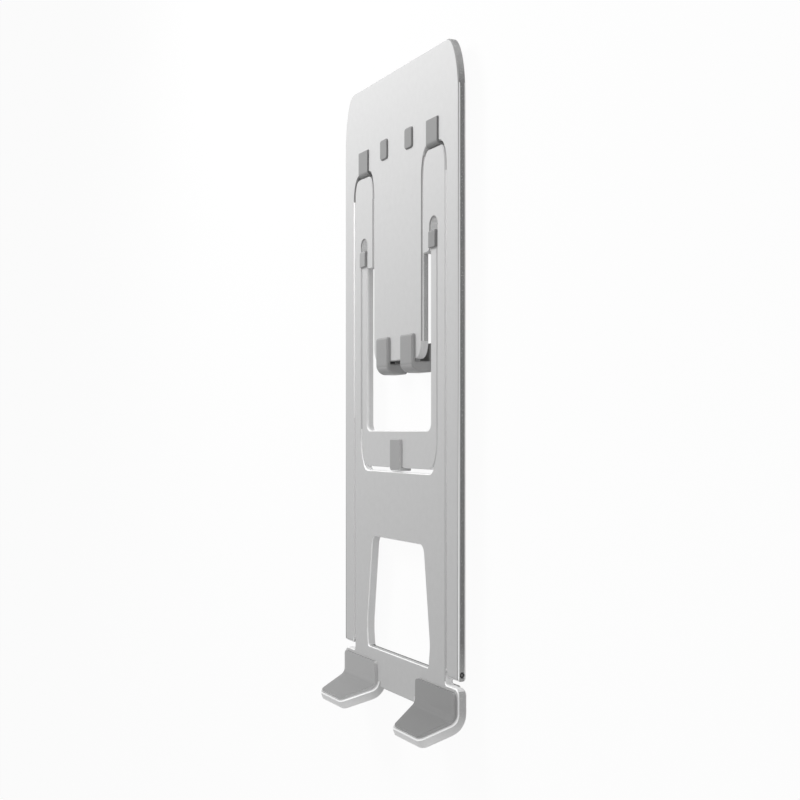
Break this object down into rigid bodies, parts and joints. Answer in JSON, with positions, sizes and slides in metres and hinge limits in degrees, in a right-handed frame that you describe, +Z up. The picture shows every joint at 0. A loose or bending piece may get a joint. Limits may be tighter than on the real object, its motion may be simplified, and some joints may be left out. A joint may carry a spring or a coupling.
{
  "type": "folding laptop stand",
  "caption": "Flat folding laptop stand: a base plate with two bent front hooks, a hinged laptop plate and a hinged prop frame with rubber pads.",
  "frame": {"origin": "middle of the folded stand's underside, where it lies on its feet", "axes": "+X across the stand to its right, +Y from the hooks to the top edge, +Z up out of the front face"},
  "size_m": [0.138, 0.3304, 0.028],
  "materials": {
    "anodised_aluminium": "blasted and anodised, with bright bevelled edges",
    "grey_rubber": "matt",
    "pin_steel": "ground",
    "washer_plastic": "matt"
  },
  "bodies": {
    "base": {"base_frame": "anodised_aluminium", "front_hinge_pin_right": "pin_steel", "front_hinge_pin_left": "pin_steel", "front_hinge_washer_right": "washer_plastic", "front_hinge_washer_left": "washer_plastic", "prop_hinge_pin_right": "pin_steel", "prop_hinge_pin_left": "pin_steel", "prop_outer_washer_right": "washer_plastic", "prop_outer_washer_left": "washer_plastic", "prop_inner_washer_right": "washer_plastic", "prop_inner_washer_left": "washer_plastic", "hook_pad_right": "grey_rubber", "hook_pad_left": "grey_rubber", "front_foot_right": "grey_rubber", "front_foot_left": "grey_rubber", "rear_foot_right": "grey_rubber", "rear_foot_left": "grey_rubber"},
    "laptop_plate": {"laptop_plate": "anodised_aluminium", "top_pad_right": "grey_rubber", "top_pad_left": "grey_rubber", "mid_pad_right": "grey_rubber", "mid_pad_left": "grey_rubber", "tongue_boot_right": "grey_rubber", "tongue_boot_left": "grey_rubber"},
    "prop": {"prop_frame": "anodised_aluminium", "prop_clip": "grey_rubber", "ear_pad_right": "grey_rubber", "ear_pad_left": "grey_rubber"}
  },
  "joints": [
    {"name": "front_hinge", "type": "hinge", "parent": "base", "child": "laptop_plate", "pos_m": [0, -0.13183, 0.0083], "axis": [1, 0, 0], "range_deg": [0, 120]},
    {"name": "prop_hinge", "type": "hinge", "parent": "base", "child": "prop", "pos_m": [0, 0.07157, 0.0081], "axis": [-1, 0, 0], "range_deg": [0, 100]}
  ]
}
